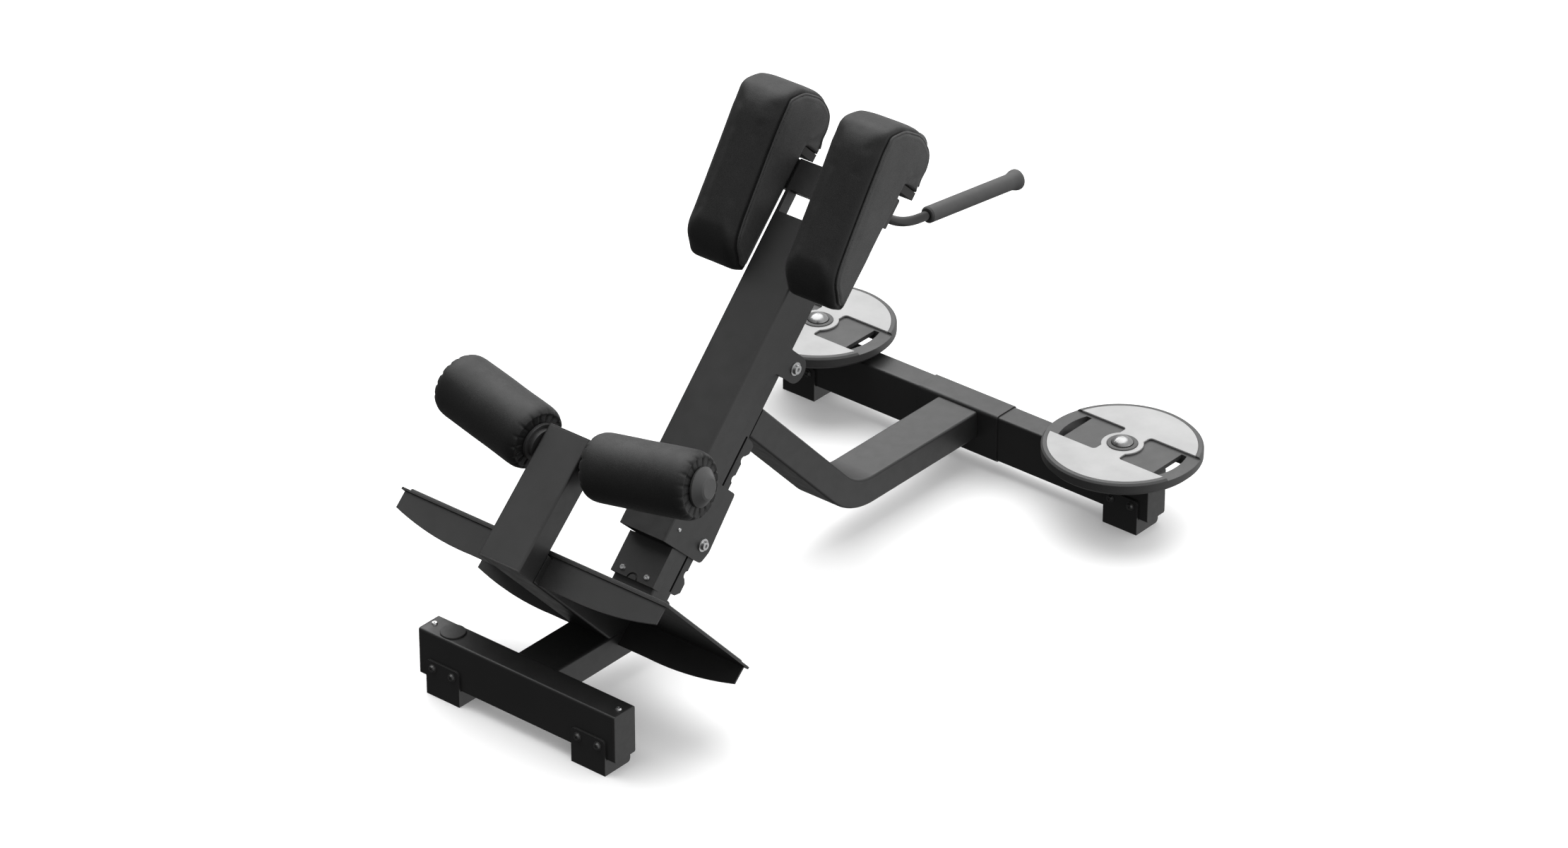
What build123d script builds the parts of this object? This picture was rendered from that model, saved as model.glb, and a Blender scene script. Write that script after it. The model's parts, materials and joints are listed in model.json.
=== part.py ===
from build123d import *
import os
from math import cos, radians, sin, sqrt, tan

# Roman chair: a 45 degree back-extension bench. Millimetres, +Z up.
# +X points from the foot end to the weight-plate end, +Y to the left.
# The origin is on the floor, at the middle of the overall box.

os.makedirs("parts", exist_ok=True)

# ---- driving dimensions ------------------------------------------------
front_x = -732.04  # front face of the front stabiliser
tube_wide = 100.0  # main tube section, wide side
tube_deep = 60.0  # main tube section, narrow side
tube_wall = 3.0
tube_corner = 5.0

stabiliser_deep = 58.0
stabiliser_low = 33.5
stabiliser_high = 134.0
front_half = 244.1  # half lengths over the end caps
rear_half = 474.1
rear_x = front_x + 1313.1
cap_thick = 3.5

foot_wide = 83.0
foot_sheet = 4.5
foot_long = 70.5
foot_top = 76.0
front_foot_y = 181.8
rear_foot_y = 410.8
bolt_spread = 24.4
bolt_z = 60.5

spine_low = 68.0
spine_top = 128.0
spine_end = front_x + 378.0

beam_angle = 46.435  # inclined post and carriage
beam_foot_x = front_x + 92.54
post_front = -54.0
post_rear = -114.0
post_top = 1030.0
cover_front = -44.0

carriage_half = 56.0
carriage_sheet = 3.0
carriage_front = -3.0
carriage_low = 380.0
carriage_top = 1150.0
bar_low = 1088.0
bar_front = -12.0
bar_rear = -42.0
bar_half = 165.0

notch_pitch = 40.5
notch_first = 349.5
notch_count = 7
lock_pin_radius = 7.0
pivot_s = 413.5
pivot_n = -124.0
axle_s = 792.2
axle_n = -139.6

deck_angle = 43.0
heel_x = front_x + 55.6
heel_z = 379.9
deck_half = 330.0
deck_long = 329.0
deck_low = -1.5
deck_top = 3.0
mat_top = 8.0
arm_low = -63.0
arm_top = -4.5
roller_post_top = 213.0

roller_m = 164.3
roller_d = -43.8
roller_tilt = 10.26
roller_radius = 65.8

pad_inner = 60.0
pad_outer = 182.0
pad_back = -12.0
board_front = -4.0

strut_z = 99.7
strut_bend = 143.0
sleeve_sheet = 2.5

plate_radius = 160.0
plate_x = front_x + 1342.3
plate_y = 387.0
plate_seat = 139.0
rim_low = 143.0
rim_top = 169.8
face_top = 170.4
face_sheet = 3.0
band_half = 52.5
band_floor = 165.4
band_sheet = 9.0
pocket_inner = 86.0
hub_radius = 42.0
neck_half = 29.0
ring_radius = 31.0
spigot_radius = 21.3

# ---- directions and planes ---------------------------------------------
beam_e = Vector(cos(radians(beam_angle)), 0, sin(radians(beam_angle)))
beam_n = Vector(-sin(radians(beam_angle)), 0, cos(radians(beam_angle)))
beam_foot = Vector(beam_foot_x, 0, 0)
deck_m = Vector(cos(radians(deck_angle)), 0, sin(radians(deck_angle)))
deck_d = Vector(sin(radians(deck_angle)), 0, -cos(radians(deck_angle)))
deck_heel = Vector(heel_x, 0, heel_z)


def xz_plane(y=0.0):
    """Side view: local x is +X, local y is +Z, extrusion goes to -Y."""
    return Plane(origin=(0, y, 0), x_dir=(1, 0, 0), z_dir=(0, -1, 0))


def beam_side(y=0.0):
    """Side view of the inclined beam: local x is s, local y is n."""
    return Plane(origin=beam_foot + Vector(0, y, 0), x_dir=beam_e, z_dir=(0, -1, 0))


def beam_section(s):
    """Cross-section of the inclined beam: local x is Y, local y is n."""
    return Plane(origin=beam_foot + beam_e * s, x_dir=(0, 1, 0), z_dir=beam_e)


def beam_face(n):
    """Face-on view of the inclined beam: local x is s, local y is Y."""
    return Plane(origin=beam_foot + beam_n * n, x_dir=beam_e, z_dir=beam_n)


def deck_side(y=0.0):
    """Side view of the foot deck: local x is d, local y is m."""
    return Plane(origin=deck_heel + Vector(0, y, 0), x_dir=deck_d, z_dir=(0, -1, 0))


def deck_face(m):
    """Plan view of the foot deck: local x is d, local y is Y."""
    return Plane(origin=deck_heel + deck_m * m, x_dir=deck_d, z_dir=deck_m)


def deck_section(d):
    """Cross-section of the foot deck: local x is Y, local y is m."""
    return Plane(origin=deck_heel + deck_d * d, x_dir=(0, 1, 0), z_dir=deck_d)


def finish(part, name):
    """Label a finished piece and write it."""
    part.label = name
    export_step(part, f"parts/{name}.step")


def mirrored(part, name):
    """Write the piece's mirror image across the middle plane."""
    with BuildPart() as other:
        add(mirror(part, about=Plane.XZ, mode=Mode.PRIVATE))
    finish(other.part, name)


def nearest(outline, s, n):
    """Corner of an open sketch nearest to (s, n) in the sketch's own axes."""
    return outline.vertices().sort_by(
        lambda corner: sqrt((corner.X - s) ** 2 + (corner.Y - n) ** 2)
    )[0]


# ---- front and rear stabilisers ----------------------------------------
stabiliser_mid = (stabiliser_low + stabiliser_high) / 2
stabiliser_tall = stabiliser_high - stabiliser_low


def stabiliser(front, half, foot_y, top_holes):
    """Rectangular cross tube with bolt holes in its front wall."""
    with BuildPart() as tube:
        with BuildSketch(xz_plane()):
            with Locations((front + stabiliser_deep / 2, stabiliser_mid)):
                RectangleRounded(stabiliser_deep, stabiliser_tall, tube_corner)
                RectangleRounded(
                    stabiliser_deep - 2 * tube_wall,
                    stabiliser_tall - 2 * tube_wall,
                    tube_corner - 2,
                    mode=Mode.SUBTRACT,
                )
        extrude(amount=half - cap_thick, both=True)
        with BuildSketch(Plane(origin=(front, 0, 0), x_dir=(0, 1, 0), z_dir=(1, 0, 0))):
            for side in (-1, 1):
                for step in (-1, 1):
                    with Locations((side * foot_y + step * bolt_spread, bolt_z)):
                        Circle(4.1)
        extrude(amount=tube_wall + 1, mode=Mode.SUBTRACT)
        for y in top_holes:
            with BuildSketch(Plane.XY.offset(stabiliser_high)):
                with Locations((front + stabiliser_deep / 2, y)):
                    Circle(2.6)
            extrude(amount=-tube_wall - 1, mode=Mode.SUBTRACT)
    return tube.part


def end_cap(front, half):
    """Moulded end cap: flat head and a plug inside the tube."""
    with BuildPart() as cap:
        with BuildSketch(xz_plane(half)):
            with Locations((front + stabiliser_deep / 2, stabiliser_mid)):
                RectangleRounded(stabiliser_deep, stabiliser_tall, tube_corner)
        extrude(amount=cap_thick)
        chamfer(cap.faces().sort_by(Axis.Y)[-1].edges(), length=1.0)
        with BuildSketch(xz_plane(half - cap_thick)):
            with Locations((front + stabiliser_deep / 2, stabiliser_mid)):
                RectangleRounded(
                    stabiliser_deep - 2 * tube_wall - 0.2,
                    stabiliser_tall - 2 * tube_wall - 0.2,
                    3.3,
                )
        extrude(amount=8)
    return cap.part


def foot(front, y):
    """Folded sheet foot: bolted front plate, cheeks and base under the tube."""
    with BuildPart() as shoe:
        face = Plane(origin=(front - foot_sheet, y, 0), x_dir=(0, 1, 0), z_dir=(1, 0, 0))
        with BuildSketch(face) as plate:
            Rectangle(foot_wide, foot_top, align=(Align.CENTER, Align.MIN))
            fillet(plate.vertices().group_by(Axis.Y)[-1], radius=9)
        extrude(amount=foot_sheet)
        with BuildSketch(xz_plane(y)) as base:
            with Locations((front - foot_sheet, 0)):
                Rectangle(foot_long, stabiliser_low, align=(Align.MIN, Align.MIN))
            fillet(nearest(base, front - foot_sheet + foot_long, 0), radius=8)
        extrude(amount=foot_wide / 2, both=True)
        with BuildSketch(xz_plane(y)):
            with Locations((front + 3.5, 4.0)):
                Rectangle(foot_long, stabiliser_low, align=(Align.MIN, Align.MIN))
        extrude(amount=foot_wide / 2 - 4, both=True, mode=Mode.SUBTRACT)
        with BuildSketch(face):
            with GridLocations(2 * bolt_spread, 1, 2, 1):
                with Locations((0, bolt_z)):
                    Circle(4.2)
        extrude(amount=foot_sheet, mode=Mode.SUBTRACT)
    return shoe.part


def foot_bolts(front, foot_y, name):
    """Four button-head bolts through the feet into the tube."""
    with BuildPart() as bolts:
        for side in (-1, 1):
            for step in (-1, 1):
                centre = (front - foot_sheet, side * foot_y + step * bolt_spread, bolt_z)
                axis = Plane(origin=centre, x_dir=(0, 1, 0), z_dir=(-1, 0, 0))
                with BuildSketch(axis):
                    Circle(9.2)
                extrude(amount=1.4)
                with BuildSketch(axis.offset(1.4)):
                    Circle(7.4)
                extrude(amount=4.2, taper=18)
                with BuildSketch(axis.offset(5.6)):
                    RegularPolygon(2.5, 6)
                extrude(amount=-2.6, mode=Mode.SUBTRACT)
                with BuildSketch(axis):
                    Circle(4.0)
                extrude(amount=-(foot_sheet + tube_wall + 5))
    finish(bolts.part, name)


finish(stabiliser(front_x, front_half, front_foot_y, (-229.5, 229.5)), "front_stabiliser")
finish(stabiliser(rear_x, rear_half, rear_foot_y, ()), "rear_stabiliser")
for name, front, half in (("front", front_x, front_half), ("rear", rear_x, rear_half)):
    cap = end_cap(front, half)
    finish(cap, f"{name}_end_cap_left")
    mirrored(cap, f"{name}_end_cap_right")
for name, front, y in (("front", front_x, front_foot_y), ("rear", rear_x, rear_foot_y)):
    finish(foot(front, y), f"{name}_foot_left")
    finish(foot(front, -y), f"{name}_foot_right")
    foot_bolts(front, y, f"{name}_foot_bolts")

# round disc and two button screws on the front stabiliser's top face
disc_x = front_x + 28.9
with BuildPart() as top_disc:
    with BuildSketch(Plane.XY.offset(stabiliser_high)):
        with Locations((disc_x, 182)):
            Circle(25)
    extrude(amount=3.2)
    chamfer(top_disc.faces().sort_by(Axis.Z)[-1].edges(), length=1.2)
finish(top_disc.part, "top_disc")

# ---- spine -------------------------------------------------------------
spine_mid = (spine_low + spine_top) / 2
spine_front = front_x + stabiliser_deep
with BuildPart() as spine:
    with BuildSketch(Plane(origin=(spine_front, 0, spine_mid), x_dir=(0, 1, 0), z_dir=(1, 0, 0))):
        RectangleRounded(tube_wide, tube_deep, tube_corner)
        RectangleRounded(tube_wide - 2 * tube_wall, tube_deep - 2 * tube_wall, 3, mode=Mode.SUBTRACT)
    extrude(amount=spine_end - spine_front - 3)
finish(spine.part, "spine")

# ---- inclined post -----------------------------------------------------
post_mid = (post_front + post_rear) / 2
with BuildPart() as post:
    with BuildSketch(beam_section(200)):
        with Locations((0, post_mid)):
            RectangleRounded(tube_wide, tube_deep, tube_corner)
            RectangleRounded(
                tube_wide - 2 * tube_wall, tube_deep - 2 * tube_wall, 3, mode=Mode.SUBTRACT
            )
    extrude(amount=post_top - 3 - 200)
    split(bisect_by=Plane.XY.offset(spine_top), keep=Keep.TOP)
    with BuildSketch(beam_side()):
        with Locations((469.5, -105)):
            SlotOverall(329, 6)
    extrude(amount=tube_wide / 2 + 1, both=True, mode=Mode.SUBTRACT)
finish(post.part, "post")

# identical moulded plugs closing the spine's rear end and the post's top
plug_seats = (
    Plane(origin=(spine_end - 3, 0, spine_mid), x_dir=(0, 1, 0), z_dir=(1, 0, 0)),
    Plane(
        origin=beam_foot + beam_e * (post_top - 3) + beam_n * post_mid,
        x_dir=(0, 1, 0),
        z_dir=beam_e,
    ),
)
with BuildPart() as tube_plugs:
    for seat in plug_seats:
        with BuildSketch(seat):
            RectangleRounded(tube_wide, tube_deep, tube_corner)
        extrude(amount=3)
        with BuildSketch(seat):
            RectangleRounded(tube_wide - 6.2, tube_deep - 6.2, 3.3)
        extrude(amount=-12)
finish(tube_plugs.part, "tube_plugs")

# moulded cover on the lower front of the post
with BuildPart() as post_cover:
    with BuildSketch(beam_side()):
        with Locations((294, cover_front)):
            Rectangle(84, 24, align=(Align.MIN, Align.MAX))
    extrude(amount=52.7, both=True)
    with BuildSketch(beam_section(294)):
        with Locations((0, post_mid)):
            RectangleRounded(tube_wide, tube_deep, tube_corner)
    extrude(amount=84, mode=Mode.SUBTRACT)
    with BuildSketch(beam_face(cover_front)):
        for y in (-30, 30):
            with Locations((308, y)):
                Circle(2.7)
        with Locations((294, 0)):
            Circle(13)
            Circle(9, mode=Mode.SUBTRACT)
    extrude(amount=-3, mode=Mode.SUBTRACT)
finish(post_cover.part, "post_cover")

# button-head screws: two on the stabiliser's top face, two on the cover
screw_heads = [
    Plane(origin=(front_x + stabiliser_deep / 2, y, stabiliser_high)) for y in (-229.5, 229.5)
]
screw_heads += [
    Plane(
        origin=beam_foot + beam_e * 308 + beam_n * cover_front + Vector(0, y, 0),
        x_dir=beam_e,
        z_dir=beam_n,
    )
    for y in (-30, 30)
]
with BuildPart() as button_screws:
    for head in screw_heads:
        with BuildSketch(head):
            Circle(6.2)
        extrude(amount=3.4, taper=24)
        with BuildSketch(head.offset(3.4)):
            RegularPolygon(1.9, 6)
        extrude(amount=-1.8, mode=Mode.SUBTRACT)
        with BuildSketch(head):
            Circle(2.5)
        extrude(amount=-3)
finish(button_screws.part, "button_screws")

# ---- notched rack on the back of the post ------------------------------
rack_half = 48.0
rack_sheet = 5.0
with BuildPart() as rack:
    with BuildSketch(beam_side()) as rack_outline:
        with BuildLine():
            Polyline(
                (303.6, post_rear),
                (304.5, -127),
                (314, -140.5),
                (333.5, -140.5),
                (343, -131),
                (600, -131),
                (608.5, -141),
                (626, -141),
                (631, -130),
                (632.5, post_rear),
                close=True,
            )
        make_face()
        for s, n in ((314, -140.5), (333.5, -140.5), (608.5, -141), (626, -141)):
            fillet(nearest(rack_outline, s, n), radius=4)
    extrude(amount=rack_half, both=True)
    with BuildSketch(beam_side()):
        for i in range(notch_count):
            with Locations((notch_first + i * notch_pitch, -133)):
                Circle(8)
    extrude(amount=rack_half, both=True, mode=Mode.SUBTRACT)
    with BuildSketch(beam_section(290)):
        with Locations((0, post_rear - 4)):
            Rectangle(2 * (rack_half - rack_sheet), 60, align=(Align.CENTER, Align.MAX))
    extrude(amount=360, mode=Mode.SUBTRACT)
finish(rack.part, "rack")

# ---- foot arm, roller post and deck ------------------------------------
arm_mid = (arm_low + arm_top) / 2
arm_deep = arm_top - arm_low
with BuildPart() as foot_arm:
    with BuildSketch(deck_section(-11)):
        with Locations((0, arm_mid)):
            RectangleRounded(tube_wide, arm_deep, tube_corner)
            RectangleRounded(
                tube_wide - 2 * tube_wall, arm_deep - 2 * tube_wall, 3, mode=Mode.SUBTRACT
            )
    extrude(amount=400)
    split(bisect_by=Plane.XY.offset(spine_top), keep=Keep.TOP)
finish(foot_arm.part, "foot_arm")


def roller_axis(side):
    """Ankle-roller axis on one side (+1 left, -1 right), leaning outwards and up."""
    start = deck_heel + deck_m * roller_m + deck_d * roller_d
    lean = deck_m * sin(radians(roller_tilt)) + Vector(0, side, 0) * cos(radians(roller_tilt))
    return start, lean


def roller_plane(side):
    """Half-section plane of a roller: local x is radial, local y runs along the axis."""
    start, lean = roller_axis(side)
    return Plane(origin=start, x_dir=deck_d, z_dir=deck_d.cross(lean))


def roller_end(side, along):
    """Plane square to the roller axis at a distance along it."""
    start, lean = roller_axis(side)
    return Plane(origin=start + lean * along, x_dir=deck_d, z_dir=lean)


roller_post_deep = 59.0
roller_post_mid = -40.5
with BuildPart() as roller_post:
    with BuildSketch(deck_face(arm_low + 3)):
        with Locations((roller_post_mid, 0)):
            RectangleRounded(roller_post_deep, tube_wide, tube_corner)
            RectangleRounded(
                roller_post_deep - 2 * tube_wall, tube_wide - 2 * tube_wall, 3, mode=Mode.SUBTRACT
            )
    extrude(amount=roller_post_top - arm_low - 6)
    for side in (-1, 1):
        with BuildSketch(roller_end(side, 20)):
            Circle(8.0)
        extrude(amount=40, mode=Mode.SUBTRACT)
finish(roller_post.part, "roller_post")

with BuildPart() as roller_post_caps:
    for level, out in ((roller_post_top - 3, 1), (arm_low + 3, -1)):
        with BuildSketch(deck_face(level)):
            with Locations((roller_post_mid, 0)):
                RectangleRounded(roller_post_deep, tube_wide, tube_corner)
        extrude(amount=3 * out)
        with BuildSketch(deck_face(level)):
            with Locations((roller_post_mid, 0)):
                RectangleRounded(roller_post_deep - 6.2, tube_wide - 6.2, 3.3)
        extrude(amount=-12 * out)
finish(roller_post_caps.part, "roller_post_caps")

with BuildPart() as deck_plate:
    with BuildSketch(deck_face(deck_low)):
        with Locations((deck_long / 2, 0)):
            RectangleRounded(deck_long, 2 * deck_half, 4)
    extrude(amount=deck_top - deck_low)
finish(deck_plate.part, "deck_plate")


def deck_flange(d, name):
    """Shaped plate under the deck, notched for the foot arm."""
    with BuildPart() as flange:
        with BuildSketch(deck_section(d)):
            with BuildLine():
                Line((321, deck_low), (321, -37))
                ThreePointArc((321, -37), (225, -56), (120, -60.5))
                Line((120, -60.5), (-120, -60.5))
                ThreePointArc((-120, -60.5), (-225, -56), (-321, -37))
                Line((-321, -37), (-321, deck_low))
                Line((-321, deck_low), (321, deck_low))
            make_face()
            with Locations((0, arm_top)):
                Rectangle(tube_wide, 80, align=(Align.CENTER, Align.MAX), mode=Mode.SUBTRACT)
        extrude(amount=4)
    finish(flange.part, name)


deck_flange(4, "deck_flange_heel")
deck_flange(321, "deck_flange_toe")

with BuildPart() as deck_mat:
    with BuildSketch(deck_face(deck_top)):
        with Locations((deck_long / 2, 0)):
            RectangleRounded(deck_long - 14, 2 * deck_half - 30, 6)
    extrude(amount=mat_top - deck_top)
    chamfer(deck_mat.faces().sort_by(Axis((0, 0, 0), deck_m))[-1].edges(), length=1.5)
finish(deck_mat.part, "deck_mat")

# ---- ankle rollers -----------------------------------------------------
axle_radius = 8.0
with BuildPart() as roller_axles:
    for side in (1, -1):
        with BuildSketch(roller_end(side, 38)):
            Circle(axle_radius)
        extrude(amount=267.9)
finish(roller_axles.part, "roller_axles")

for side, hand in ((1, "left"), (-1, "right")):
    start, lean = roller_axis(side)
    with BuildPart() as roller_core:
        with BuildSketch(roller_end(side, 57)):
            Circle(30)
        extrude(amount=8)
        with BuildSketch(roller_end(side, 65)):
            Circle(38)
        extrude(amount=7)
        with BuildSketch(roller_end(side, 72)):
            Circle(20)
        extrude(amount=232)
        with BuildSketch(roller_end(side, 57)):
            Circle(axle_radius + 0.05)
        extrude(amount=247, mode=Mode.SUBTRACT)
        hub_rims = roller_core.edges().filter_by(GeomType.CIRCLE)
        hub_rims = hub_rims.sort_by(lambda edge: (edge.center() - start).length)
        chamfer(hub_rims[1], length=0.8)
    finish(roller_core.part, f"roller_core_{hand}")

    with BuildPart() as ankle_roller:
        with BuildSketch(roller_plane(side)):
            with BuildLine():
                Line((20, 72), (52, 72))
                RadiusArc((52, 72), (roller_radius, 86), -14)
                Line((roller_radius, 86), (roller_radius, 280))
                RadiusArc((roller_radius, 280), (38, 303), -26)
                Line((38, 303), (20, 303))
                Line((20, 303), (20, 72))
            make_face()
        revolve(axis=Axis(start, lean))
    finish(ankle_roller.part, f"ankle_roller_{hand}")

    with BuildPart() as roller_cap:
        with BuildSketch(roller_plane(side)):
            with BuildLine():
                Polyline((0, 306), (0, 322), (19, 322), (23, 320), (38, 307), (38, 303))
                Polyline((38, 303), (20, 303), (20, 304), (8.5, 304), (8.5, 306), (0, 306))
            make_face()
        revolve(axis=Axis(start, lean))
    finish(roller_cap.part, f"roller_cap_{hand}")

# ---- strut, sleeve -----------------------------------------------------
leg_angle = radians(46.0)
leg_dir = Vector(cos(leg_angle), 0, -sin(leg_angle))
leg_top = Vector(front_x + 634.0, 0, 403.65)
corner_run = (leg_top.Z - strut_z) / sin(leg_angle)
strut_corner = leg_top + leg_dir * corner_run
tangent = strut_bend * tan(leg_angle / 2)
sleeve_front = rear_x - sleeve_sheet
leg_start = leg_top - leg_dir * 45
bend_start = strut_corner - leg_dir * tangent
bend_end = strut_corner + Vector(tangent, 0, 0)
strut_end = Vector(sleeve_front, 0, strut_z)
with BuildPart() as strut:
    with BuildLine() as strut_path:
        Line(leg_start, bend_start)
        TangentArc(bend_start, bend_end, tangent=leg_dir)
        Line(bend_end, strut_end)
    with BuildSketch(Plane(origin=leg_start, x_dir=(0, 1, 0), z_dir=leg_dir)):
        RectangleRounded(tube_wide, tube_deep, tube_corner)
        RectangleRounded(tube_wide - 2 * tube_wall, tube_deep - 2 * tube_wall, 3, mode=Mode.SUBTRACT)
    sweep(path=strut_path.line)
    with BuildSketch(beam_section(560)):
        with Locations((0, post_rear)):
            Rectangle(120, 90, align=(Align.CENTER, Align.MIN))
    extrude(amount=220, mode=Mode.SUBTRACT)
finish(strut.part, "strut")

with BuildPart() as rear_sleeve:
    with BuildSketch(xz_plane()):
        with Locations((rear_x + stabiliser_deep / 2, stabiliser_mid)):
            RectangleRounded(
                stabiliser_deep + 2 * sleeve_sheet,
                stabiliser_tall + 2 * sleeve_sheet,
                tube_corner + sleeve_sheet,
            )
            RectangleRounded(stabiliser_deep, stabiliser_tall, tube_corner, mode=Mode.SUBTRACT)
    extrude(amount=100, both=True)
finish(rear_sleeve.part, "rear_sleeve")

# ---- weight plates and spigots -----------------------------------------
for side, hand in ((1, "left"), (-1, "right")):
    y0 = side * plate_y
    upright = Plane(origin=(plate_x, y0, 0), x_dir=(1, 0, 0), z_dir=(0, -1, 0))
    plate_axis = Axis((plate_x, y0, 0), (0, 0, 1))

    with BuildPart() as spigot:
        with BuildSketch(upright):
            with BuildLine():
                Line((0, stabiliser_high), (33, stabiliser_high))
                Line((33, stabiliser_high), (33, plate_seat))
                Line((33, plate_seat), (spigot_radius, plate_seat))
                Line((spigot_radius, plate_seat), (spigot_radius, 174))
                ThreePointArc((spigot_radius, 174), (13, 181.5), (3, 184.8))
                Line((3, 184.8), (0, 184.8))
                Line((0, 184.8), (0, stabiliser_high))
            make_face()
        revolve(axis=plate_axis)
    finish(spigot.part, f"spigot_{hand}")

    with BuildPart() as weight_plate:
        with BuildSketch(upright):
            with BuildLine():
                Polyline(
                    (ring_radius, plate_seat),
                    (62, plate_seat),
                    (70, rim_low),
                    (plate_radius - 7, rim_low),
                    (plate_radius, rim_low + 7),
                    (plate_radius, rim_top - 4),
                    (plate_radius - 4, rim_top),
                    (148.8, rim_top),
                    (148.8, face_top - face_sheet),
                    (ring_radius, face_top - face_sheet),
                    close=True,
                )
            make_face()
        revolve(axis=plate_axis)
        with BuildSketch(Plane.XY.offset(band_floor)):
            with Locations((plate_x, y0)):
                Rectangle(2 * band_half, 2 * plate_radius + 10)
                Circle(hub_radius, mode=Mode.SUBTRACT)
                Rectangle(2 * band_half, 2 * neck_half, mode=Mode.SUBTRACT)
        extrude(amount=20, mode=Mode.SUBTRACT)
        with BuildSketch(Plane.XY.offset(rim_low - 10)):
            for end in (-1, 1):
                with BuildLine():
                    reach = sqrt(131.0**2 - 46.0**2)
                    left = (plate_x - 46, y0 + end * reach)
                    right = (plate_x + 46, y0 + end * reach)
                    ThreePointArc(left, (plate_x, y0 + end * 131), right)
                    Line(right, (plate_x + 46, y0 + end * 110))
                    Line((plate_x + 46, y0 + end * 110), (plate_x - 46, y0 + end * 110))
                    Line((plate_x - 46, y0 + end * 110), left)
                make_face()
        extrude(amount=60, mode=Mode.SUBTRACT)
        with BuildSketch(Plane.XY.offset(rim_low - 1)):
            for end in (-1, 1):
                with BuildLine():
                    reach = sqrt(131.0**2 - 46.0**2)
                    left = (plate_x - 46, y0 + end * reach)
                    right = (plate_x + 46, y0 + end * reach)
                    ThreePointArc(left, (plate_x, y0 + end * 131), right)
                    Line(right, (plate_x + 46, y0 + end * pocket_inner))
                    Line(
                        (plate_x + 46, y0 + end * pocket_inner),
                        (plate_x - 46, y0 + end * pocket_inner),
                    )
                    Line((plate_x - 46, y0 + end * pocket_inner), left)
                make_face()
        extrude(amount=band_floor - band_sheet - rim_low + 1, mode=Mode.SUBTRACT)
    finish(weight_plate.part, f"weight_plate_{hand}")

    with BuildPart() as plate_ring:
        with BuildSketch(upright):
            with BuildLine():
                Polyline(
                    (spigot_radius + 0.3, plate_seat),
                    (ring_radius, plate_seat),
                    (ring_radius, 171.6),
                    (ring_radius - 1, 172.6),
                    (spigot_radius + 1.5, 172.6),
                    (spigot_radius + 0.3, 171.4),
                    close=True,
                )
            make_face()
        revolve(axis=plate_axis)
    finish(plate_ring.part, f"plate_ring_{hand}")

    with BuildPart() as plate_face:
        with BuildSketch(Plane.XY.offset(face_top - face_sheet)) as face_outline:
            with Locations((plate_x, y0)):
                Circle(148.3)
                Rectangle(2 * band_half, 320, mode=Mode.SUBTRACT)
                Circle(hub_radius)
                Rectangle(2 * band_half + 8, 2 * neck_half)
            inner = [
                vertex
                for vertex in face_outline.vertices()
                if abs(abs(vertex.X - plate_x) - band_half) < 0.1 and abs(vertex.Y - y0) < 60
            ]
            fillet(inner, radius=8)
            with Locations((plate_x, y0)):
                Circle(ring_radius, mode=Mode.SUBTRACT)
        extrude(amount=face_sheet)
        chamfer(plate_face.faces().sort_by(Axis.Z)[-1].outer_wire().edges(), length=0.6)
    finish(plate_face.part, f"plate_face_{hand}")

# ---- carriage ----------------------------------------------------------
with BuildPart() as carriage_channel:
    with BuildSketch(beam_side()) as flange_outline:
        with BuildLine():
            Polyline(
                (carriage_low, carriage_front),
                (carriage_top, carriage_front),
                (carriage_top, bar_front),
                (bar_low, bar_front),
                (bar_low, bar_rear),
                (1000, bar_rear),
                (930, -77),
                (829, -77),
                (819, -104),
                (819, -173),
                (765.4, -173),
                (763.5, -90),
                (746, -75),
                (529, -76),
                (528.5, -146.5),
                (407.5, -155),
                (381, -145.2),
                (380, -122),
                close=True,
            )
        make_face()
        for s, n, r in (
            (819, -173, 26.5),
            (765.4, -173, 26.5),
            (528.5, -146.5, 7),
            (407.5, -155, 25),
            (381, -145.2, 12),
            (529, -76, 8),
            (746, -75, 12),
            (763.5, -90, 12),
            (829, -77, 10),
            (819, -104, 20),
            (930, -77, 30),
            (1000, bar_rear, 30),
        ):
            fillet(nearest(flange_outline, s, n), radius=r)
    extrude(amount=carriage_half, both=True)
    bends = carriage_channel.edges().filter_by(lambda edge: edge.length > 700)
    fillet(bends, radius=5)
    with BuildSketch(beam_section(carriage_low - 10)):
        with Locations((0, carriage_front - carriage_sheet)):
            Rectangle(
                2 * (carriage_half - carriage_sheet), 220, align=(Align.CENTER, Align.MAX)
            )
    extrude(amount=820, mode=Mode.SUBTRACT)
    with BuildSketch(beam_face(carriage_front)):
        with Locations((1064, 0)):
            RectangleRounded(46, 92, 3)
    extrude(amount=-carriage_sheet, mode=Mode.SUBTRACT)
    with BuildSketch(beam_side()):
        with Locations((axle_s, axle_n)):
            Circle(6.1)
        with Locations((pivot_s, pivot_n)):
            Circle(5.1)
        with Locations((414, -32.5)):
            Circle(2.6)
    extrude(amount=carriage_half + 1, both=True, mode=Mode.SUBTRACT)
finish(carriage_channel.part, "carriage_channel")

with BuildPart() as cross_bar:
    with BuildSketch(beam_side()):
        with Locations(((bar_low + carriage_top) / 2, (bar_front + bar_rear) / 2)):
            RectangleRounded(carriage_top - bar_low, bar_front - bar_rear, 4)
            RectangleRounded(
                carriage_top - bar_low - 5, bar_front - bar_rear - 5, 2, mode=Mode.SUBTRACT
            )
    extrude(amount=bar_half - 3, both=True)
finish(cross_bar.part, "cross_bar")

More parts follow.
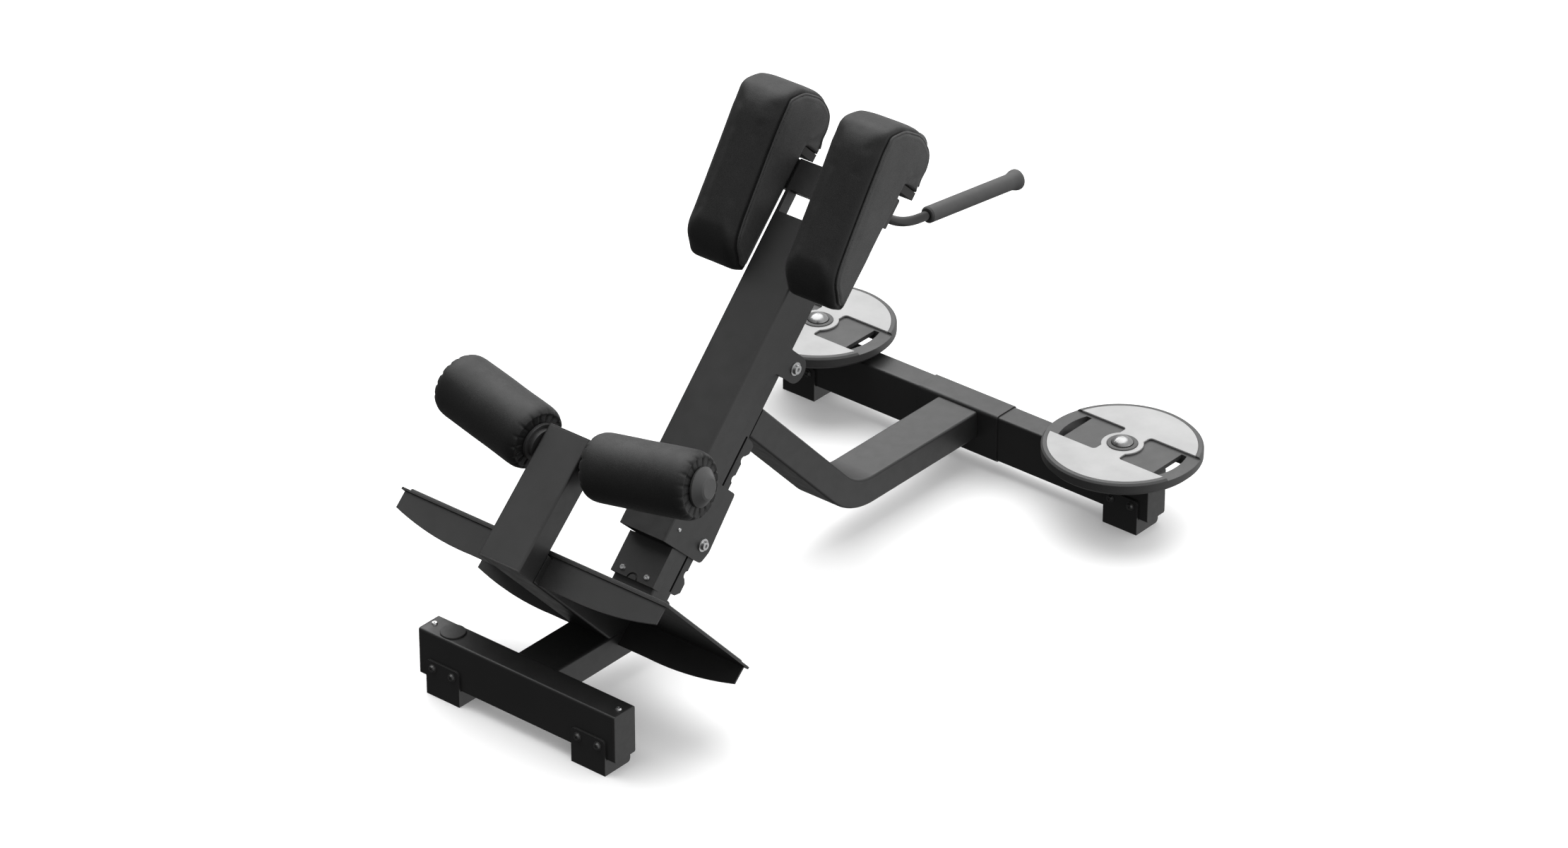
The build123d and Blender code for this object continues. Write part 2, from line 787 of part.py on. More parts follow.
with BuildPart() as cross_bar_caps:
    for side in (-1, 1):
        with BuildSketch(beam_side(side * (bar_half - 3))):
            with Locations(((bar_low + carriage_top) / 2, (bar_front + bar_rear) / 2)):
                RectangleRounded(carriage_top - bar_low, bar_front - bar_rear, 4)
        extrude(amount=-3 * side)
        with BuildSketch(beam_side(side * (bar_half - 3))):
            with Locations(((bar_low + carriage_top) / 2, (bar_front + bar_rear) / 2)):
                RectangleRounded(carriage_top - bar_low - 5.2, bar_front - bar_rear - 5.2, 2.3)
        extrude(amount=10 * side)
finish(cross_bar_caps.part, "cross_bar_caps")

# two identical sliding blocks between the channel and the post
with BuildPart() as guide_blocks:
    for s in (422, 740):
        with BuildSketch(beam_section(s)):
            with Locations((0, carriage_front - carriage_sheet)):
                Rectangle(105.9, 67, align=(Align.CENTER, Align.MAX))
            with Locations((0, post_mid + 0.025)):
                RectangleRounded(tube_wide + 0.1, tube_deep + 0.15, tube_corner, mode=Mode.SUBTRACT)
            with Locations((0, post_mid - 20)):
                Rectangle(tube_wide + 0.1, 60, mode=Mode.SUBTRACT)
        extrude(amount=60)
finish(guide_blocks.part, "guide_blocks")

with BuildPart() as guide_axle:
    with BuildSketch(beam_side(60)):
        with Locations((axle_s, axle_n)):
            Circle(6.0)
    extrude(amount=120)
    for side in (-1, 1):
        with BuildSketch(beam_side(side * carriage_half)):
            with Locations((axle_s, axle_n)):
                Circle(13.5)
        extrude(amount=-2 * side)
        with BuildSketch(beam_side(side * (carriage_half + 2))):
            with Locations((axle_s, axle_n)):
                Circle(10.5)
        extrude(amount=-6 * side, taper=14)
        with BuildSketch(beam_side(side * (carriage_half + 8))):
            with Locations((axle_s, axle_n)):
                RegularPolygon(4.0, 6)
        extrude(amount=3.5 * side, mode=Mode.SUBTRACT)
finish(guide_axle.part, "guide_axle")

with BuildPart() as guide_roller:
    with BuildSketch(beam_side(46)):
        with Locations((axle_s, axle_n)):
            Circle(25.4)
            Circle(6.05, mode=Mode.SUBTRACT)
    extrude(amount=92)
    rims = guide_roller.edges().filter_by(GeomType.CIRCLE).filter_by(lambda e: e.radius > 20)
    chamfer(rims, length=2)
finish(guide_roller.part, "guide_roller")

# latch: two arms on short pivots, a locking pin behind the rack and a finger bar
lock_s = 394.1
lock_n = -139.5
finger_s = 420.0
finger_n = -150.0
with BuildPart() as latch:
    for y in (52.0, -49.0):
        with BuildSketch(beam_side(y)):
            with Locations((pivot_s, pivot_n)):
                Circle(9.4)
            with Locations((lock_s, lock_n), (finger_s, finger_n)):
                Circle(lock_pin_radius)
            with BuildLine():
                Polyline(
                    (pivot_s - 7.5, pivot_n + 4),
                    (lock_s - 5, lock_n + 4.5),
                    (lock_s, lock_n - 6.8),
                    (finger_s, finger_n - 6.8),
                    (finger_s + 6.5, finger_n + 1),
                    (pivot_s + 8.8, pivot_n - 1),
                    close=True,
                )
            make_face()
        extrude(amount=3)
    with BuildSketch(beam_side(52)):
        with Locations((lock_s, lock_n)):
            Circle(lock_pin_radius)
        with Locations((finger_s, finger_n)):
            Circle(lock_pin_radius)
    extrude(amount=104)
    with BuildSketch(beam_side(60)):
        with Locations((pivot_s, pivot_n)):
            Circle(5.05)
    extrude(amount=120, mode=Mode.SUBTRACT)
finish(latch.part, "latch")

with BuildPart() as latch_pivots:
    for side in (-1, 1):
        with BuildSketch(beam_side(side * 48.9)):
            with Locations((pivot_s, pivot_n)):
                Circle(5.0)
        extrude(amount=-8 * side)
        with BuildSketch(beam_side(side * carriage_half)):
            with Locations((pivot_s, pivot_n)):
                Circle(13)
        extrude(amount=-3 * side)
        with BuildSketch(beam_side(side * (carriage_half + 3))):
            with Locations((pivot_s, pivot_n)):
                Circle(9.5)
        extrude(amount=-6 * side, taper=12)
        with BuildSketch(beam_side(side * (carriage_half + 9))):
            with Locations((pivot_s, pivot_n)):
                RegularPolygon(4.0, 6)
        extrude(amount=3.5 * side, mode=Mode.SUBTRACT)
finish(latch_pivots.part, "latch_pivots")

with BuildPart() as side_screws:
    for side in (-1, 1):
        with BuildSketch(beam_side(side * carriage_half)):
            with Locations((414, -32.5)):
                Circle(4.2)
        extrude(amount=-2.2 * side, taper=20)
        with BuildSketch(beam_side(side * carriage_half)):
            with Locations((414, -32.5)):
                Circle(2.5)
        extrude(amount=3 * side)
finish(side_screws.part, "side_screws")

# ---- hip pads ----------------------------------------------------------
for side, hand in ((1, "left"), (-1, "right")):
    pad_mid = side * (pad_inner + pad_outer) / 2
    half = (pad_outer - pad_inner) / 2

    with BuildPart() as pad_board:
        with BuildSketch(beam_side(pad_mid)):
            with BuildLine():
                Polyline(
                    (925, pad_back),
                    (1160, pad_back),
                    (1160, -59),
                    (1176, -59),
                    (1176, board_front),
                    (925, board_front),
                    close=True,
                )
            make_face()
        extrude(amount=half - 4, both=True)
    finish(pad_board.part, f"pad_board_{hand}")

    with BuildPart() as pad:
        with BuildSketch(beam_side(pad_mid)) as pad_outline:
            with BuildLine():
                Polyline(
                    (909, pad_back),
                    (1176, pad_back),
                    (1176, -61.5),
                    (1228, -61.5),
                    (1264, -42),
                    (1281, 12),
                    (1268, 78),
                    (1236, 122),
                    (1180, 117),
                    (930, 72),
                    (897, 14),
                    close=True,
                )
            make_face()
            for s, n, r in (
                (1228, -61.5, 60),
                (1264, -42, 45),
                (1281, 12, 90),
                (1268, 78, 60),
                (1236, 122, 30),
                (1180, 117, 90),
                (930, 72, 20),
                (897, 14, 16),
            ):
                fillet(nearest(pad_outline, s, n), radius=r)
        extrude(amount=half, both=True)
        rim = pad.edges().filter_by(
            lambda edge: abs(abs(edge.center().Y - pad_mid) - half) < 0.1
            and (edge.center() - beam_foot).dot(beam_n) > 100
        )
        fillet(rim, radius=12)
        with BuildSketch(beam_side(pad_mid)):
            with BuildLine():
                Polyline(
                    (925, pad_back - 1),
                    (1160, pad_back - 1),
                    (1160, -63),
                    (1176, -63),
                    (1176, board_front),
                    (925, board_front),
                    close=True,
                )
            make_face()
        extrude(amount=half - 4, both=True, mode=Mode.SUBTRACT)
    finish(pad.part, f"pad_{hand}")

# ---- handles -----------------------------------------------------------
handle_radius = 9.5
handle_s = 1118.0
grip_slope = radians(36.5)
bend_radius = 200.0
corner_n = -141.3
run_in = bend_radius * tan(grip_slope / 2)
for side, hand in ((1, "left"), (-1, "right")):
    base = beam_foot + Vector(0, side * 121, 0) + beam_e * handle_s
    root = base + beam_n * bar_rear
    first = base + beam_n * (corner_n + run_in)
    corner = base + beam_n * corner_n
    away = beam_e * sin(grip_slope) - beam_n * cos(grip_slope)
    second = corner + away * run_in
    tip = corner + away * 360
    grip_start = corner + away * 88
    with BuildPart() as handle:
        with BuildLine() as handle_path:
            Line(root, first)
            TangentArc(first, second, tangent=beam_n * -1)
            Line(second, tip)
        with BuildSketch(Plane(origin=root, x_dir=(0, 1, 0), z_dir=beam_n * -1)):
            Circle(handle_radius)
            Circle(handle_radius - 2.5, mode=Mode.SUBTRACT)
        sweep(path=handle_path.line)
    finish(handle.part, f"handle_{hand}")

    with BuildPart() as grip:
        with BuildSketch(Plane(origin=grip_start, x_dir=(0, 1, 0), z_dir=(Vector(0, 1, 0)).cross(away))):
            with BuildLine():
                Line((handle_radius, 0), (13.5, 0))
                Line((13.5, 0), (16.7, 3.5))
                Line((16.7, 3.5), (16.7, 252))
                Spline((16.7, 252), (17.8, 262), (20.6, 272), (20.9, 279), tangents=((0, 1), (-0.1, 1)))
                ThreePointArc((20.9, 279), (14, 284.4), (4, 286))
                Line((4, 286), (0, 286))
                Line((0, 286), (0, 272))
                Line((0, 272), (handle_radius, 272))
                Line((handle_radius, 272), (handle_radius, 0))
            make_face()
        revolve(axis=Axis(grip_start, away))
    finish(grip.part, f"grip_{hand}")
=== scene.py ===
import json
import math

import bmesh
import bpy
import numpy as np
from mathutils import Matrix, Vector, noise
from mathutils.bvhtree import BVHTree


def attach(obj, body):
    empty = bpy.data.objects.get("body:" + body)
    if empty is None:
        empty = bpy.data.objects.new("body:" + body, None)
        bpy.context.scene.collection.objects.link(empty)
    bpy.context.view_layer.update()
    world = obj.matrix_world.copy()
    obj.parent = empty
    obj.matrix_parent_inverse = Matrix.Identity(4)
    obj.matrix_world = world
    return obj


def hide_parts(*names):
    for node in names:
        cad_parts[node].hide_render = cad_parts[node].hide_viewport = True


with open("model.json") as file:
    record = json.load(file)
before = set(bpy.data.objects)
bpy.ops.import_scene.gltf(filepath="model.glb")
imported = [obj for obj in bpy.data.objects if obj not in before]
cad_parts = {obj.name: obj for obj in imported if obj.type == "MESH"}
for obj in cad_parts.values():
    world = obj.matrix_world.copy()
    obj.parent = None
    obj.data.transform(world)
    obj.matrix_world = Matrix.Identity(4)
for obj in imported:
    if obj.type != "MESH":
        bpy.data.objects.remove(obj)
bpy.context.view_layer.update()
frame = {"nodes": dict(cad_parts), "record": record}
NODES = frame["nodes"]
SLOTS = {s["node"]: s["material_slot"] for s in frame["record"]["subparts"]}
COLLECTION = bpy.context.scene.collection


# ---- shader building ---------------------------------------------------
class Graph:
    """Small helper for building one node material."""

    def __init__(self, name):
        self.mat = bpy.data.materials.new(name)
        self.mat.use_nodes = True
        self.tree = self.mat.node_tree
        self.bsdf = self.tree.nodes["Principled BSDF"]
        self.coord = self.add("ShaderNodeTexCoord").outputs["Object"]

    def add(self, kind, **values):
        node = self.tree.nodes.new(kind)
        for key, value in values.items():
            setattr(node, key, value)
        return node

    def link(self, a, b):
        self.tree.links.new(a, b)

    def noise(self, scale, detail=3.0, rough=0.55, stretch=None):
        node = self.add("ShaderNodeTexNoise")
        node.inputs["Scale"].default_value = scale
        node.inputs["Detail"].default_value = detail
        node.inputs["Roughness"].default_value = rough
        source = self.coord
        if stretch:
            mapping = self.add("ShaderNodeMapping")
            mapping.inputs["Scale"].default_value = stretch
            self.link(self.coord, mapping.inputs["Vector"])
            source = mapping.outputs["Vector"]
        self.link(source, node.inputs["Vector"])
        return node.outputs["Fac"]

    def cells(self, scale):
        """Distance to the nearest border between pebbles."""
        node = self.add("ShaderNodeTexVoronoi", feature="DISTANCE_TO_EDGE")
        node.inputs["Scale"].default_value = scale
        self.link(self.coord, node.inputs["Vector"])
        return node.outputs["Distance"]

    def ramp(self, value, low, high, a=0.0, b=1.0):
        node = self.add("ShaderNodeMapRange")
        for key, x in (("From Min", low), ("From Max", high), ("To Min", a), ("To Max", b)):
            node.inputs[key].default_value = x
        self.link(value, node.inputs["Value"])
        return node.outputs["Result"]

    def math(self, operation, a, b):
        node = self.add("ShaderNodeMath", operation=operation)
        for socket, x in zip(node.inputs, (a, b)):
            if isinstance(x, float):
                socket.default_value = x
            else:
                self.link(x, socket)
        return node.outputs[0]

    def mix(self, factor, a, b):
        node = self.add("ShaderNodeMix", data_type="RGBA")
        self.link(factor, node.inputs["Factor"])
        for socket, x in ((node.inputs[6], a), (node.inputs[7], b)):
            if isinstance(x, tuple):
                socket.default_value = (*x, 1.0)
            else:
                self.link(x, socket)
        return node.outputs[2]

    def bump(self, height, distance, strength=1.0, normal=None):
        node = self.add("ShaderNodeBump")
        node.inputs["Strength"].default_value = strength
        node.inputs["Distance"].default_value = distance
        self.link(height, node.inputs["Height"])
        if normal is not None:
            self.link(normal, node.inputs["Normal"])
        return node.outputs["Normal"]

    def soft_edges(self, radius):
        """Rounded edge normals, and a mask that is 1 on the edges: worn edges in coated metal, a painted
        edge highlight in moulded parts.
        """
        bevel = self.add("ShaderNodeBevel", samples=4)
        bevel.inputs["Radius"].default_value = radius
        geometry = self.add("ShaderNodeNewGeometry")
        dot = self.add("ShaderNodeVectorMath", operation="DOT_PRODUCT")
        self.link(bevel.outputs["Normal"], dot.inputs[0])
        self.link(geometry.outputs["Normal"], dot.inputs[1])
        mask = self.ramp(dot.outputs["Value"], 0.98, 0.75)
        return bevel.outputs["Normal"], mask

    def surface(self, colour=None, rough=None, normal=None, **constants):
        """Links the given outputs and sets the constants; an underscore in a name stands for a space."""
        if colour is not None:
            self.link(colour, self.bsdf.inputs["Base Color"])
        if rough is not None:
            self.link(rough, self.bsdf.inputs["Roughness"])
        if normal is not None:
            self.link(normal, self.bsdf.inputs["Normal"])
        for key, value in constants.items():
            self.bsdf.inputs[key.replace("_", " ")].default_value = value
        return self.mat


def grey(v, warm=0.0):
    return (v * (1 + warm), v, v * (1 - warm))


# ---- materials ---------------------------------------------------------
def coated_metal(name, base, rough, peel=0.00006, wear=0.10, edge=0.0011, metal=0.0, specular=0.45):
    """Powder coat or paint over steel: fine orange peel, faint blotches, worn edges."""
    g = Graph(name)
    normal, mask = g.soft_edges(edge)
    blotch = g.ramp(g.noise(9.0, 4.0), 0.3, 0.7)
    colour = g.mix(blotch, grey(base * 0.90), grey(base * 1.10))
    scuff = g.math("MULTIPLY", mask, g.ramp(g.noise(160.0, 5.0), 0.42, 0.62))
    worn = g.math("MULTIPLY", scuff, wear)
    colour = g.mix(worn, colour, grey(min(0.5, base * 5 + 0.08)))
    grain = g.ramp(g.noise(38.0, 5.0), 0.3, 0.7, rough - 0.045, rough + 0.055)
    peel_height = g.noise(900.0, 2.0, 0.5)
    bumped = g.bump(peel_height, peel, 1.0, normal)
    return g.surface(colour, grain, bumped, Metallic=metal, Specular_IOR_Level=specular)


def polished(name, base, rough, brushed=False):
    """Bare steel with fine polishing or turning marks."""
    g = Graph(name)
    normal, _ = g.soft_edges(0.0004)
    marks = g.noise(600.0, 4.0, 0.6, (1.0, 1.0, 9.0) if brushed else None)
    haze = g.ramp(g.noise(60.0, 4.0), 0.35, 0.7, rough * 0.8, rough * 1.6)
    colour = g.mix(g.ramp(g.noise(45.0), 0.3, 0.7), grey(base * 0.93), grey(base, -0.008))
    return g.surface(colour, haze, g.bump(marks, 0.00002, 0.6, normal), Metallic=1.0)


def vinyl(name, base, rough, grain_scale=620.0, depth=0.00016):
    """Upholstery vinyl: pebbled leather grain with creases, slightly polished high spots."""
    g = Graph(name)
    pebble = g.ramp(g.cells(grain_scale), 0.0, 0.32)
    crease = g.ramp(g.noise(34.0, 6.0, 0.6), 0.35, 0.65)
    broad = g.noise(7.0, 3.0)
    colour = g.mix(pebble, grey(base * 0.72), grey(base * 1.06))
    colour = g.mix(g.ramp(broad, 0.35, 0.7, 0.0, 0.35), colour, grey(base * 1.35))
    grooves = g.ramp(pebble, 0.0, 1.0, 0.10, 0.0)
    gloss = g.math("ADD", grooves, g.ramp(crease, 0.0, 1.0, rough - 0.04, rough + 0.05))
    height = g.math("ADD", pebble, g.math("MULTIPLY", crease, 0.9))
    return g.surface(
        colour, gloss, g.bump(height, depth, 0.75),
        Sheen_Weight=0.04, Sheen_Roughness=0.5, Specular_IOR_Level=0.30,
    )


def moulded(name, base, rough, texture=1100.0, depth=0.00004, edge=0.0008):
    """Moulded plastic or rubber with a fine spark-eroded texture, its edges lightened as a painted
    highlight.
    """
    g = Graph(name)
    normal, mask = g.soft_edges(edge)
    shade = g.ramp(g.noise(14.0, 4.0), 0.3, 0.7)
    colour = g.mix(shade, grey(base * 0.92), grey(base * 1.08))
    # painted highlight: every edge is lightened evenly, standing in for light caught on the rounded edges
    colour = g.mix(g.math("MULTIPLY", mask, 0.30), colour, grey(base * 1.7 + 0.01))
    gloss = g.ramp(g.noise(70.0, 4.0), 0.3, 0.7, rough - 0.05, rough + 0.05)
    return g.surface(colour, gloss, g.bump(g.noise(texture, 2.0), depth, 0.8, normal))


def plywood(name, base):
    """Stained board with its fibres running along X."""
    g = Graph(name)
    fibre = g.noise(55.0, 6.0, 0.65, (1.0, 9.0, 9.0))
    colour = g.mix(g.ramp(fibre, 0.35, 0.65), grey(base * 0.7), grey(base * 1.5, 0.05))
    return g.surface(colour, g.ramp(fibre, 0.3, 0.7, 0.62, 0.78), g.bump(fibre, 0.0002, 0.7))


# name, grey level and roughness, then how each finish differs from its kind
MATERIALS = {
    "frame_black": coated_metal("frame_powder_coat", 0.019, 0.40),
    "handle_black": coated_metal(
        "handle_gloss_coat", 0.006, 0.20, peel=0.00003, wear=0.05, edge=0.0006, specular=0.40
    ),
    "plate_iron": coated_metal("plate_hammered_iron", 0.040, 0.46, peel=0.00012, wear=0.15, edge=0.0016),
    "plate_face_grey": moulded("plate_face_satin", 0.33, 0.38, texture=900.0, depth=0.00003, edge=0.0006),
    "polished_steel": polished("polished_steel", 0.28, 0.22),
    "bright_screw": polished("zinc_screw", 0.55, 0.28, brushed=True),
    "dark_bolt": coated_metal(
        "black_oxide_bolt", 0.085, 0.33, peel=0.00003, wear=0.35, edge=0.0005, metal=0.7
    ),
    "black_vinyl": vinyl("pad_vinyl", 0.010, 0.40),
    "pad_board_black": plywood("pad_board_stain", 0.022),
    "black_plastic": moulded("black_moulding", 0.020, 0.46),
    "roller_hub_plastic": moulded("roller_hub_moulding", 0.040, 0.40, texture=700.0),
    "grip_rubber": moulded("grip_rubber", 0.050, 0.60, texture=800.0, depth=0.00010, edge=0.0012),
    "mat_rubber": moulded("mat_rubber", 0.040, 0.66, texture=420.0, depth=0.00022),
    "guide_nylon": moulded("guide_nylon", 0.045, 0.40),
}
# Painted light: the side panels get a much lighter copy of the pad vinyl, standing in for the light falling
# on the pad's sides
LIT_SIDE_PANEL_VINYL = vinyl("pad_side_panel_vinyl_painted_light", 0.062, 0.56, grain_scale=480.0, depth=0.00022)
# Painted highlight: the piping's vinyl is lighter than the cover's, standing in for the light line along its
# ridge
LIT_PIPING_VINYL = vinyl("pad_piping_vinyl_painted_highlight", 0.045, 0.34, grain_scale=900.0, depth=0.00006)

for node_name, node in NODES.items():
    node.data.materials.clear()
    node.data.materials.append(MATERIALS[SLOTS[node_name]])


# ---- meshes ------------------------------------------------------------
def ring_faces(rings, count):
    """Faces of a closed form made of rings of points, with a cap at each end."""
    faces = []
    for i in range(rings - 1):
        for k in range(count):
            a, b = i * count + k, i * count + (k + 1) % count
            faces.append((a, b, b + count, a + count))
    faces.append(tuple(range(count))[::-1])
    faces.append(tuple(range((rings - 1) * count, rings * count)))
    return faces


def face_outward(mesh, split_caps=False):
    bm = bmesh.new()
    bm.from_mesh(mesh)
    bmesh.ops.recalc_face_normals(bm, faces=bm.faces)
    if split_caps:
        bmesh.ops.triangulate(bm, faces=[f for f in bm.faces if len(f.verts) > 4])
    bm.to_mesh(mesh)
    bm.free()


def new_piece(name, verts, faces, body, material):
    mesh = bpy.data.meshes.new(name)
    mesh.from_pydata([tuple(v) for v in verts], [], faces)
    mesh.update()
    piece = bpy.data.objects.new(name, mesh)
    COLLECTION.objects.link(piece)
    mesh.materials.append(material)
    mesh.shade_smooth()
    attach(piece, body)
    return piece


def apply_modifiers(piece):
    bpy.context.view_layer.update()
    depsgraph = bpy.context.evaluated_depsgraph_get()
    mesh = bpy.data.meshes.new_from_object(piece.evaluated_get(depsgraph), depsgraph=depsgraph)
    piece.modifiers.clear()
    piece.data = mesh


def read_points(mesh, what="co"):
    values = np.zeros(len(mesh.vertices) * 3)
    mesh.vertices.foreach_get(what, values)
    return values.reshape(-1, 3)


def store(mesh, co):
    mesh.vertices.foreach_set("co", co.ravel())
    mesh.update()


def remesh(piece, voxel):
    modifier = piece.modifiers.new("Remesh", "REMESH")
    modifier.mode = "VOXEL"
    modifier.voxel_size = voxel
    apply_modifiers(piece)


def subdivide(piece):
    modifier = piece.modifiers.new("Subdivision", "SUBSURF")
    modifier.levels = 1
    modifier.render_levels = 1
    apply_modifiers(piece)


def relax(piece, free, rounds):
    """Evens out ripples in the cover where it is free to move."""
    bm = bmesh.new()
    bm.from_mesh(piece.data)
    bm.verts.ensure_lookup_table()
    loose = [bm.verts[int(i)] for i in np.nonzero(free)[0]]
    for _ in range(rounds):
        bmesh.ops.smooth_vert(bm, verts=loose, factor=0.5, use_axis_x=True, use_axis_y=True, use_axis_z=True)
    bm.to_mesh(piece.data)
    bm.free()


def tube(name, path, radius, body, material, sides=10):
    """A closed-ended tube through a list of points."""
    verts = []
    previous = None
    for i, point in enumerate(path):
        ahead = path[min(i + 1, len(path) - 1)] - path[max(i - 1, 0)]
        ahead.normalize()
        across = previous if previous is not None else ahead.orthogonal()
        across = (across - ahead * across.dot(ahead)).normalized()
        previous = across
        up = ahead.cross(across)
        for k in range(sides):
            a = 2 * math.pi * k / sides
            verts.append(point + (across * math.cos(a) + up * math.sin(a)) * radius)
    return new_piece(name, verts, ring_faces(len(path), sides), body, material)


# ---- the leaning beam's own directions, as the post runs ----------------
BEAM_ANGLE = math.radians(46.435)
BEAM_E = Vector((math.cos(BEAM_ANGLE), 0, math.sin(BEAM_ANGLE)))
BEAM_N = Vector((-math.sin(BEAM_ANGLE), 0, math.cos(BEAM_ANGLE)))
FRONT_X = -0.73204
BEAM_FOOT = Vector((FRONT_X + 0.09254, 0, 0))


def beam_point(s, n, y=0.0):
    """A point from millimetres along (s) and across (n) the beam."""
    return BEAM_FOOT + BEAM_E * (s / 1000) + BEAM_N * (n / 1000) + Vector((0, y / 1000, 0))


def beam_coordinates(co):
    """The beam's s and n, in millimetres, of points in metres."""
    d = co - np.array(BEAM_FOOT)
    return d @ np.array(BEAM_E) * 1000, d @ np.array(BEAM_N) * 1000


# ---- hip pads: outline, in millimetres in the beam's s and n -------------
HOOK_START = 1176
PAD_BACK = -11.4
PAD_CORNERS = [
    # s, n, radius
    (909, PAD_BACK, 0), (HOOK_START, PAD_BACK, 0), (HOOK_START, -61, 2), (1228, -61, 58),
    (1263.5, -41.5, 45), (1280, 12, 90), (1267, 77.5, 60), (1235.5, 121, 32),
    (1180, 116.5, 90), (931, 72, 54), (897.5, 14, 24),
]
PAD_MIDDLE = 121.0
PAD_HALF = 61.0
LONGEST_CUT = 0.49


def rounded_outline(corners, step=3.0):
    """Dense closed outline in (s, n) with each corner rounded by its radius."""
    points = []
    count = len(corners)
    for i, (s, n, radius) in enumerate(corners):
        here = np.array((s, n), float)
        before = np.array(corners[i - 1][:2], float) - here
        after = np.array(corners[(i + 1) % count][:2], float) - here
        u, v = before / np.linalg.norm(before), after / np.linalg.norm(after)
        half = math.acos(max(-1, min(1, float(u @ v)))) / 2
        if radius == 0:
            points.append(here)
            continue
        reach = radius / math.tan(half)
        limit = LONGEST_CUT * min(np.linalg.norm(before), np.linalg.norm(after))
        if reach > limit:
            reach, radius = limit, limit * math.tan(half)
        centre = here + (u + v) / np.linalg.norm(u + v) * radius / math.sin(half)
        a, b = here + u * reach - centre, here + v * reach - centre
        turns = max(3, int(radius * (math.pi - 2 * half) / step))
        for k in range(turns + 1):
            d = a * (1 - k / turns) + b * (k / turns)
            points.append(centre + d / np.linalg.norm(d) * radius)
    closed = np.array(points + [points[0]])
    lengths = np.r_[0, np.cumsum(np.linalg.norm(np.diff(closed, axis=0), axis=1))]
    at = np.linspace(0, lengths[-1], int(lengths[-1] / step), endpoint=False)
    return np.stack([np.interp(at, lengths, closed[:, k]) for k in (0, 1)], 1)


def inward(outline):
    """Unit normals of a closed outline that point into it."""
    tangent = np.roll(outline, -1, 0) - np.roll(outline, 1, 0)
    tangent /= np.linalg.norm(tangent, axis=1)[:, None]
    normal = np.stack([-tangent[:, 1], tangent[:, 0]], 1)
    area = np.sum(outline[:, 0] * np.roll(outline[:, 1], -1) - outline[:, 1] * np.roll(outline[:, 0], -1))
    return normal if area > 0 else -normal


def smooth_loop(values, rounds):
    for _ in range(rounds):
        values = (np.roll(values, 1, 0) + values * 2 + np.roll(values, -1, 0)) / 4
    return values


PAD_LINE = rounded_outline(PAD_CORNERS)
PAD_IN = inward(PAD_LINE)


def pad_corner_radius():
    """How far the cover's rounded corner reaches in from the outline: wide in front, tight behind."""
    front = np.clip(-PAD_IN[:, 1], 0, 1)
    foot_end = np.clip(PAD_IN[:, 0], 0, 1)
    back = (PAD_IN[:, 1] > 0.6) & (PAD_LINE[:, 0] < HOOK_START + 4)
    under_hook = (PAD_LINE[:, 0] < HOOK_START + 14) & (PAD_LINE[:, 1] < -9)
    reach = 8.0 + 12.0 * front + 7.0 * foot_end
    reach[back | under_hook] = 2.5
    return smooth_loop(reach, 5)


PAD_RADIUS = pad_corner_radius()
SEAM_SETBACK = 1.5
SEAM_LINE = smooth_loop(PAD_LINE + PAD_IN * (PAD_RADIUS + SEAM_SETBACK)[:, None], 14)


def seam_distance(s, n):
    """Signed distance in mm from the seam line, positive towards the side panel's middle."""
    points = np.stack([s, n], 1)
    best = np.full(len(points), 1e9)
    signed = np.zeros(len(points))
    for place, into in zip(SEAM_LINE, PAD_IN):
        offset = points - place
        d = np.hypot(offset[:, 0], offset[:, 1])
        near = d < best
        best[near] = d[near]
        signed[near] = (offset @ into)[near]
    return np.copysign(best, signed)


def seam_range():
    """The part of the seam loop that shows: round the front and top, not across the back."""
    keep = ~((SEAM_LINE[:, 1] < 2) & (SEAM_LINE[:, 0] < HOOK_START + 10))
    order = np.arange(len(keep))
    first = next(i for i in order if keep[i] and not keep[i - 1])
    return [int(i % len(keep)) for i in range(first, first + int(keep.sum()))]


# ---- hip pads: cover and piping ----------------------------------------
START_SHRINK = 0.8
CORNER_STEPS = 7
VOXEL = 0.0043
CLOTH_PRESSURE = 4.0
CLOTH_FRAMES = 20
SWELL_CAP = 0.0032
RELAX_ROUNDS = 8
PIPING_RADIUS = 0.0023
PIPING_PROUD = 0.0010
SIDE_PANEL_FROM = 50


def pad_start_mesh(name, side):
    """Closed starting shape for the cushion, a little smaller than the finished pad."""
    turns = [math.pi / 2 * k / (CORNER_STEPS - 1) for k in range(CORNER_STEPS)]
    rings = [(1 - math.sin(turn), 1 - math.cos(turn)) for turn in turns]
    layers = [(-1, r) for r in rings] + [(1, r) for r in reversed(rings)]
    verts = []
    for sign, (inset, depth) in layers:
        line = PAD_LINE + PAD_IN * (PAD_RADIUS * inset + START_SHRINK)[:, None]
        for (s, n), radius in zip(line, PAD_RADIUS):
            y = side * PAD_MIDDLE + sign * (PAD_HALF - START_SHRINK - radius * depth)
            verts.append(beam_point(s, n, y))
    mesh = bpy.data.meshes.new(name)
    mesh.from_pydata(verts, [], ring_faces(len(layers), len(PAD_LINE)))
    face_outward(mesh, split_caps=True)
    piece = bpy.data.objects.new(name, mesh)
    COLLECTION.objects.link(piece)
    return piece


